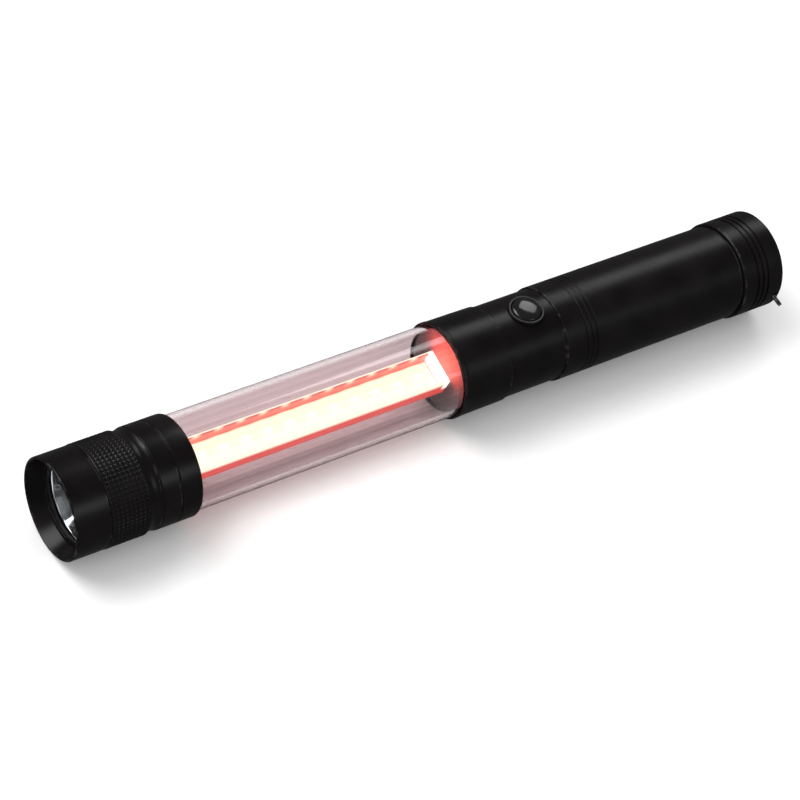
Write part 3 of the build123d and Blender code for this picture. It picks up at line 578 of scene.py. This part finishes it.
# The end walls carry a painted white glow.
tray_start, tray_end = (corner[0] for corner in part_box("strip_tray"))
end_wall, near, far = 1.6 * MM, 0.1 * MM, 0.2 * MM
rear_wall = spread(tree, along, tray_end - end_wall - far, tray_end - end_wall - near)
front_wall = spread(tree, along, tray_start + end_wall + near, tray_start + end_wall + far, 1.0, 0.0)
above_floor = spread(tree, up, -1.6 * MM, -0.8 * MM)
ends = sums(tree, "MULTIPLY", sums(tree, "MAXIMUM", rear_wall, front_wall), above_floor)
wire(tree, blend_colours(tree, ends, painted_glow, (2.3, 2.3, 2.2)), shader.inputs["Emission Color"])
shader.inputs["Emission Strength"].default_value = 0.85
coat(["strip_tray"], tray_painted_glow)

# The board's glow is painted lamp light over a dark own colour: cream up to a line near its edges
# that bulges beside each lamp, and red beyond it.
painted_board_glow, tree, shader = finish("lit_board_painted_glow", (0.10, 0.06, 0.05), 0.5)
along, across, up = strip_axes(tree)
edge = sums(tree, "DIVIDE", sums(tree, "ABSOLUTE", across), board_half * MM)
reach = sums(tree, "MULTIPLY_ADD", lamp_phase(tree, along), -0.10, 0.96)
fall = sums(tree, "SUBTRACT", edge, reach)
warm = blend_colours(tree, spread(tree, fall, -0.30, 0.02), cream, (1.60, 1.60, 1.15))
lit = blend_colours(tree, spread(tree, fall, -0.02, 0.10), warm, (1.2, 0.35, 0.25))
wire(tree, lit, shader.inputs["Emission Color"])
shader.inputs["Emission Strength"].default_value = 1.0
coat(["strip_board"], painted_board_glow)

lens_half_length, lens_half_width, lens_base, lens_rise = 1.25, 1.60, 1.42, 0.30


def lamp_surface(index, steps=24, rings=7):
    """One lamp's lens: a rounded square (superellipse of power four) whose height falls off as a
    quarter ellipse from its middle to its rim, turned with the tray."""
    t = np.linspace(0, 2 * np.pi, steps, endpoint=False)[None]
    s = np.linspace(0.0, 1.0, rings)[:, None]
    radius = (np.abs(np.cos(t)) ** 4 + np.abs(np.sin(t)) ** 4) ** -0.25
    x = lamp_first + index * lamp_pitch + lens_half_length * s * radius * np.cos(t)
    u = lens_half_width * s * radius * np.sin(t)
    v = board_level + lens_base + lens_rise * np.sqrt(np.maximum(1 - s**2, 0)) + 0 * t
    y = u * np.cos(tray_turn) - v * np.sin(tray_turn)
    z = u * np.sin(tray_turn) + v * np.cos(tray_turn)
    return np.stack([x, y, z], -1) * MM


lamp_glow, tree, shader = finish("lit_lamp", (0.12, 0.08, 0.07), 0.3)
along, across, up = strip_axes(tree)
step = sums(tree, "MULTIPLY", lamp_phase(tree, along), lamp_pitch * MM)
from_middle = sums(tree, "SQRT", sums(
    tree, "ADD", sums(tree, "MULTIPLY", step, step), sums(tree, "MULTIPLY", across, across)))
spot = blend_colours(tree, spread(tree, from_middle, 0.3 * MM, 1.3 * MM), (2.4, 2.5, 2.3), cream)
wire(tree, spot, shader.inputs["Emission Color"])
shader.inputs["Emission Strength"].default_value = 1.0
for index in range(lamp_count):
    lens_dot = skin(f"lamp_lens_{index + 1}", lamp_surface(index), closed=False)
    dress(lens_dot, lamp_glow, "torch")
lamp_case, tree, shader = finish("lamp_case", (0.10, 0.06, 0.05), 0.4)
shader.inputs["Emission Color"].default_value = (*cream, 1.0)
uneven = spread(tree, grain(tree, (900, 900, 900), 2.0), 0.3, 0.7, 0.98, 1.06)
wire(tree, uneven, shader.inputs["Emission Strength"])
coat(["strip_leds"], lamp_case)
# The resistors are no lamps: their cream glow is painted lamp light.
chip_glow = moulded("chip_ceramic_painted_glow", (0.12, 0.08, 0.07), (0.08, 0.06, 0.05), 0.5)
chip_shader = chip_glow.node_tree.nodes["Principled BSDF"]
chip_shader.inputs["Emission Color"].default_value = (1.60, 1.66, 1.22, 1.0)
chip_shader.inputs["Emission Strength"].default_value = 0.96
coat(["strip_resistors"], chip_glow)

# The red light that the strip throws upwards, and onto the bulkhead beyond each of its ends.
throws = [
    soft_box(f"strip_throw_{x}", (x * MM, -0.0008, 0.0034), (x * MM, -0.0030, 0.0130),
             (0.042, 0.008), 0.055, (1.0, 0.05, 0.04))
    for x in (62, 105)]
throws += [
    soft_box(f"end_throw_{int(x)}", (x * MM, -0.0012, 0.0045), ((x + reach_out) * MM, -0.0012, 0.0045),
             (0.004, 0.009), 0.016, (1.0, 0.10, 0.06))
    for x, reach_out in ((40.5, -10), (126.5, 10))]
for throw in throws:
    throw.visible_camera = False
    throw.visible_glossy = False
    throw.visible_transmission = False


def drawn_steel(name, colour=(0.60, 0.60, 0.61), roughness=0.24):
    """Drawn and tumbled steel: bright, with fine scratches and dull patches."""
    material, tree, shader = finish(name, colour, roughness, 1.0)
    patch = spread(tree, grain(tree, (700, 700, 700), 4.0), 0.35, 0.75)
    duller = tuple(0.6 * part for part in colour)
    wire(tree, blend_colours(tree, patch, colour, duller), shader.inputs["Base Color"])
    gloss = spread(tree, patch, 0.0, 1.0, roughness - 0.06, roughness + 0.14)
    wire(tree, gloss, shader.inputs["Roughness"])
    relief(tree, shader, grain(tree, (3000, 3000, 3000), 2.0), 0.000006, 0.4)
    return material


coat(["tray_screws"], drawn_steel("plated_screw"))
coat(["lead_wire_red"],
     moulded("red_insulation", (0.55, 0.03, 0.025), (0.42, 0.02, 0.02), 0.36))
coat(["lead_wire_black"],
     moulded("black_insulation", (0.03, 0.03, 0.03), (0.018, 0.018, 0.018), 0.36))

# ---- tube sleeve ---------------------------------------------------------------------------------
# Short turned collar over the tube's rear end. Its front edge is rolled to a lip, it tapers gently
# towards the button, and an inner step seats on the switch housing's neck.
low, high = (np.array(corner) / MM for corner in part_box("tube_sleeve"))
lip_top, lip_length, lip_drop, sleeve_end_radius = 15.24, 1.2, 0.12, 14.94
sleeve_mouth, sleeve_bore, seat_bore, seat_length = 14.75, 14.45, 13.95, 1.9
sleeve_outline = rounded(
    [(low[0], sleeve_mouth), (low[0], lip_top), (low[0] + lip_length, lip_top),
     (low[0] + lip_length + 0.5, lip_top - lip_drop), (high[0], sleeve_end_radius),
     (high[0], seat_bore), (high[0] - seat_length, seat_bore),
     (high[0] - seat_length, sleeve_bore), (low[0] + sleeve_mouth - sleeve_bore, sleeve_bore)],
    [0.1, 0.35, 0.25, 0.3, 0.2, 0, 0, 0, 0])
sleeve = turned("sleeve_ring", sleeve_outline[::-1], 224)
sleeve_metal = anodised("anodised_sleeve", (131.0, 148.0), 0.30)
dress(sleeve, sleeve_metal, "torch", ["tube_sleeve"])

# ---- switch housing, driver and push switch ------------------------------------------------------
# Turned and anodised barrel with the button's seat cut through its top. Inside, a moulded trough
# carries the driver board with its coil, chip and the push switch.
coat(["switch_housing"], anodised("anodised_housing", (168.6,), 0.28))
coat(["board_carrier", "contact_holder", "switch_body"],
     moulded("black_moulding", (0.03, 0.03, 0.03), (0.02, 0.02, 0.02)))
coat(["driver_board"], moulded("green_solder_mask", (0.03, 0.16, 0.06), (0.02, 0.12, 0.045), 0.3))
coat(["driver_parts"], moulded("chip_case", (0.05, 0.05, 0.05), (0.03, 0.03, 0.03), 0.45))
coat(["switch_stem"], moulded("white_plunger", (0.72, 0.72, 0.70), (0.66, 0.66, 0.64)))


def stamped_brass(name):
    """Stamped and lightly tarnished brass."""
    material, tree, shader = finish(name, (0.70, 0.52, 0.24), 0.3, 1.0)
    stain = spread(tree, grain(tree, (260, 260, 260), 5.0), 0.40, 0.75)
    tone = blend_colours(tree, stain, (0.74, 0.56, 0.27), (0.48, 0.33, 0.14))
    wire(tree, tone, shader.inputs["Base Color"])
    wire(tree, spread(tree, stain, 0.0, 1.0, 0.24, 0.42), shader.inputs["Roughness"])
    relief(tree, shader, grain(tree, (2500, 2500, 2500), 2.0), 0.000006, 0.3)
    return material


brass = stamped_brass("stamped_brass")
coat(
    ["front_contact", "tail_contact_plate", "tail_retainer", "cartridge_front_contact",
     "cartridge_rear_contact"], brass)
coat(["front_contact_spring", "cell_springs", "tail_spring"],
     drawn_steel("spring_wire", (0.66, 0.66, 0.67), 0.2))

# ---- button ring and cap -------------------------------------------------------------------------
# The ring is turned, anodised and pressed into the housing, standing a little proud. The cap is a
# glossy moulded dome that goes down inside it when it is pressed.
low, high = (np.array(corner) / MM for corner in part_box("button_ring"))
button_x = (low[0] + high[0]) / 2


def upright_turned(outline, steps=96):
    """Grid of a surface of revolution about the button's axis: point (r, z) of the outline goes to
    x + r cos t, -r sin t, z. The outline runs outward and up, so the faces point outwards."""
    outline = np.asarray(outline) * MM
    turn = np.linspace(0, 2 * np.pi, steps, endpoint=False)
    r, z = outline[:, 0, None], outline[:, 1, None]
    return np.stack([button_x * MM + r * np.cos(turn), -r * np.sin(turn), z + 0 * turn], -1)


ring_inner, ring_outer = 4.66, 5.64
ring_outline = rounded(
    [(ring_inner, low[2]), (ring_outer, low[2]), (ring_outer, high[2]), (ring_inner, high[2])],
    [0, 0.05, 0.24, 0.30])
button_ring = skin("button_surround", upright_turned(ring_outline))
ring_metal = anodised("anodised_button_ring", (), 0.26)
dress(button_ring, ring_metal, "torch", ["button_ring"])

low, high = (np.array(corner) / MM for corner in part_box("button_cap"))
cap_radius, foot_radius, foot_top, crown, dome_rise = 4.54, 4.99, low[2] + 0.7, high[2], 1.1
dome_power, pole_radius = 2.5, 0.01
# The dome is a superellipse: share to the power plus fall to the power make one.
dome_share = np.sin(np.linspace(np.pi / 2, 0.003, 26))
dome_height = (1 - dome_share**dome_power) ** (1 / dome_power)
dome = np.stack([cap_radius * dome_share, crown - dome_rise * (1 - dome_height)], -1)
cap_outline = np.concatenate([
    [(pole_radius, low[2]), (foot_radius, low[2]), (foot_radius, foot_top), (cap_radius, foot_top)],
    dome])
button_gloss, tree, shader = finish("button_gloss", (0.008, 0.008, 0.009), 0.14)
shader.inputs["Specular IOR Level"].default_value = 0.3
shader.inputs["Coat Weight"].default_value = 0.3
shader.inputs["Coat Roughness"].default_value = 0.05
touched = spread(tree, grain(tree, (400, 400, 400), 5.0), 0.45, 0.8, 0.12, 0.34)
wire(tree, touched, shader.inputs["Roughness"])
relief(tree, shader, grain(tree, (1500, 1500, 1500), 2.0), 0.000006, 0.2)
cap = skin("button_dome", upright_turned(cap_outline), closed=False)
dress(cap, button_gloss, "button", ["button_cap"])

# ---- handle tube ---------------------------------------------------------------------------------
# Plain drawn aluminium tube, turned true and anodised: three close grooves near the front and broken
# edges. The switch housing plugs into its front and the tail cap into its rear.
low, high = (np.array(corner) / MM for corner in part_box("handle_tube"))
handle_radius, handle_bore = high[2], 13.5
groove_places, groove_width, groove_depth = (176.7, 178.6, 180.5), 0.8, 0.34
handle_edge = 0.35


def grooved(start, end, radius, grooves, edge):
    """Outside line from start to end with a round-bottomed groove at each place: depth times the
    square of a cosine across the groove's width."""
    near, soft = edge * 0.3, radius - edge * 0.3
    line = [np.array([(start, radius - edge), (start + near, soft), (start + edge, radius)])]
    for place in grooves:
        x = np.linspace(-0.5, 0.5, 11)
        dip = groove_depth * np.cos(np.pi * x) ** 2
        line.append(np.stack([place + groove_width * x, radius - dip], -1))
    line.append(np.array([(end - edge, radius), (end - near, soft), (end, radius - edge)]))
    return np.concatenate(line)


handle_outline = np.concatenate([
    grooved(low[0], high[0], handle_radius, groove_places, handle_edge)[::-1],
    [(low[0], handle_bore), (high[0], handle_bore)]])
handle = turned("handle_barrel", handle_outline, 224)
handle_metal = anodised("anodised_handle", (169.0, 237.6), 0.32)
dress(handle, handle_metal, "torch", ["handle_tube"])

# ---- battery cartridge ---------------------------------------------------------------------------
# Black moulded frame of two end discs on a spine and four posts. It holds four cells, each in a
# printed metal can: a dark blue field, a copper band at the positive end and a thin silver line.
coat(["cartridge_front_disc", "cartridge_rear_disc", "cartridge_posts"],
     moulded("cartridge_moulding", (0.035, 0.035, 0.035), (0.022, 0.022, 0.022)))
can_print, tree, shader = finish("can_print", (0.05, 0.12, 0.30), 0.28, 0.6)
split = tree.nodes.new("ShaderNodeSeparateXYZ")
wire(tree, object_place(tree), split.inputs[0])
band_start, line_middle, line_half = 219.5 * MM, 218.5 * MM, 0.4 * MM
band = spread(tree, split.outputs["X"], band_start, band_start + 0.1 * MM)
silver = sums(tree, "COMPARE", split.outputs["X"], line_middle, line_half)
field = blend_colours(tree, band, (0.03, 0.09, 0.25), (0.60, 0.27, 0.12))
field = blend_colours(tree, silver, field, (0.70, 0.70, 0.72))
scuff = spread(tree, grain(tree, (220, 220, 220), 5.0), 0.62, 0.75)
wire(tree, blend_colours(tree, scuff, field, (0.40, 0.40, 0.42)), shader.inputs["Base Color"])
wire(tree, spread(tree, scuff, 0.0, 1.0, 0.24, 0.42), shader.inputs["Roughness"])
coat(["battery_cells"], can_print)

# ---- tail cap ------------------------------------------------------------------------------------
# Turned knob with three grooves, a ridged spigot that screws into the handle and a recess in its
# end. A hole through the rim holds the split ring.
coat(["tail_cap"], anodised("anodised_tail", (239.0, 253.9), 0.32))

# ---- split ring ----------------------------------------------------------------------------------
# Small ring wound from flattened steel wire, two turns side by side. It is threaded through the tail
# cap's rim and swings there.
ring_mean, wire_half_width, wire_half_height = 3.10, 0.38, 0.25
ring_clock, ring_twist = np.radians(4.0), np.radians(55.0)
hole_x, ring_centre_radius = 252.3, 14.8
turn_gap, end_phase = 0.05, 2.2


def coil_surface(turns=2.0, steps=220, sides=14):
    """Flattened wire carried round a two-turn coil: its section is an ellipse, the coil climbs one
    wire height each turn, and each end closes to a point over its last few degrees."""
    t = np.linspace(0, 2 * np.pi * turns, steps)[:, None]
    a = np.linspace(0, 2 * np.pi, sides, endpoint=False)[None]
    end = np.minimum(t, t[-1] - t)
    taper = np.sqrt(np.clip(end / 0.12, 0.0004, 1))
    radius = ring_mean + wire_half_width * taper * np.cos(a)
    climb = 2 * (wire_half_height + turn_gap) * (t / (2 * np.pi) - turns / 2)
    aside = climb + wire_half_height * taper * np.sin(a)
    phase = t + end_phase
    along, out = ring_mean + radius * np.cos(phase), radius * np.sin(phase)
    x = along * np.cos(ring_twist) + aside * np.sin(ring_twist)
    z = -along * np.sin(ring_twist) + aside * np.cos(ring_twist)
    y = -ring_centre_radius + out
    turned_y = y * np.cos(ring_clock) - z * np.sin(ring_clock)
    turned_z = y * np.sin(ring_clock) + z * np.cos(ring_clock)
    return np.stack([hole_x + x, turned_y, turned_z], -1) * MM


loop = skin("wire_ring", coil_surface(), closed=False)
ring_steel = drawn_steel("ring_steel", (0.52, 0.51, 0.50), 0.26)
dress(loop, ring_steel, "split_ring", ["split_ring"])
